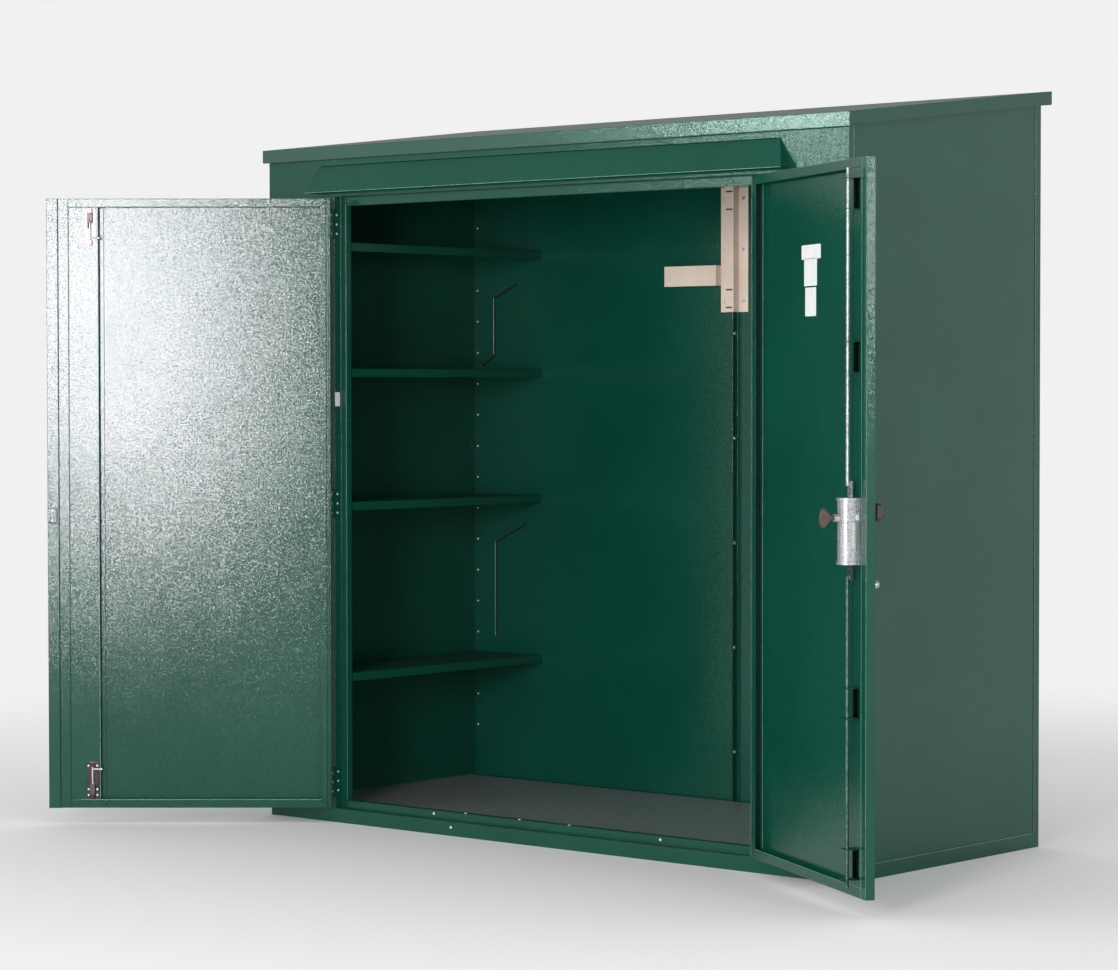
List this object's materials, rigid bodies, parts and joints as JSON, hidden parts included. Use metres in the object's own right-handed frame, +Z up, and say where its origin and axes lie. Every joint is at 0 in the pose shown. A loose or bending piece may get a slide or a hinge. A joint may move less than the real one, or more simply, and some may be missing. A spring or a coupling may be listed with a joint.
{
  "type": "metal tool shed",
  "caption": "Low pent-roof steel garden shed with double hinged doors, side shelves, a rod lock, tower bolts and a wall bracket.",
  "frame": {"origin": "centre of the shed's footprint at ground level, on the underside of the middle floor bearer", "axes": "+X to the right when facing the doors, +Y from the doors to the back wall, +Z up"},
  "size_m": [3.0024, 1.6025, 2.2148],
  "materials": {
    "green_coating": "glossy textured plastic coating, dark green",
    "galvanised_steel": "dull galvanised sheet",
    "bright_steel": "bright zinc-plated steel",
    "bronzed_steel": "dark bronzed steel",
    "black_metal": "black, slightly worn",
    "cream_coating": "satin cream coating"
  },
  "bodies": {
    "shed": {"base_front_rail": "green_coating", "base_rear_rail": "green_coating", "base_left_rail": "green_coating", "base_right_rail": "green_coating", "front_left_panel": "green_coating", "front_right_panel": "green_coating", "front_header_panel": "green_coating", "left_jamb": "green_coating", "right_jamb": "green_coating", "lintel": "green_coating", "door_sill": "green_coating", "left_wall": "green_coating", "right_wall": "green_coating", "back_left_panel": "green_coating", "back_right_panel": "green_coating", "roof_sheet": "green_coating", "left_verge": "green_coating", "right_verge": "green_coating", "rain_hood": "green_coating", "top_shelf": "green_coating", "upper_shelf": "green_coating", "lower_shelf": "green_coating", "bottom_shelf": "green_coating", "left_frame_hinges": "green_coating", "right_frame_hinges": "green_coating", "floor_bearers": "galvanised_steel", "floor_panel": "galvanised_steel", "bracket_upright": "cream_coating", "bracket_arm": "cream_coating"},
    "left_door": {"left_door_panel": "green_coating", "left_door_channel": "green_coating", "left_door_cover_strip": "green_coating", "left_door_hinges": "green_coating", "top_bolt_plate": "bronzed_steel", "bottom_bolt_plate": "bronzed_steel"},
    "right_door": {"right_door_panel": "green_coating", "right_door_channel": "green_coating", "right_door_hinges": "green_coating", "rod_guides": "green_coating", "lock_case": "galvanised_steel", "lock_escutcheon": "bright_steel"},
    "top_bolt": {"top_bolt": "bright_steel"},
    "bottom_bolt": {"bottom_bolt": "bright_steel"},
    "lock_handle": {"lock_handle": "black_metal"},
    "upper_lock_rod": {"upper_lock_rod": "bright_steel"},
    "lower_lock_rod": {"lower_lock_rod": "bright_steel"}
  },
  "joints": [
    {"name": "left_door_hinge", "type": "hinge", "parent": "shed", "child": "left_door", "pos_m": [-0.832, -0.4905, 0.9915], "axis": [0, 0, 1], "range_deg": [-30.5, 139.5]},
    {"name": "right_door_hinge", "type": "hinge", "parent": "shed", "child": "right_door", "pos_m": [0.832, -0.4905, 0.9915], "axis": [0, 0, 1], "range_deg": [-148.5, 21.5]},
    {"name": "top_bolt_slide", "type": "slide", "parent": "left_door", "child": "top_bolt", "axis": [0, 0, 1], "range_m": [0, 0.042]},
    {"name": "bottom_bolt_slide", "type": "slide", "parent": "left_door", "child": "bottom_bolt", "axis": [0, 0, -1], "range_m": [0, 0.042]},
    {"name": "lock_handle_turn", "type": "hinge", "parent": "right_door", "child": "lock_handle", "pos_m": [1.47148, -0.88237, 1.019], "axis": [-0.5225, -0.8526, 0], "range_deg": [0, 90]},
    {"name": "upper_rod_slide", "type": "slide", "parent": "right_door", "child": "upper_lock_rod", "axis": [0, 0, 1], "range_m": [0, 0.022]},
    {"name": "lower_rod_slide", "type": "slide", "parent": "right_door", "child": "lower_lock_rod", "axis": [0, 0, -1], "range_m": [0, 0.022]}
  ],
  "couplings": [
    {"joint": "lock_handle_turn", "follows": "lower_rod_slide", "rad_per_m": 71.39},
    {"joint": "upper_rod_slide", "follows": "lower_rod_slide", "ratio": 1}
  ]
}
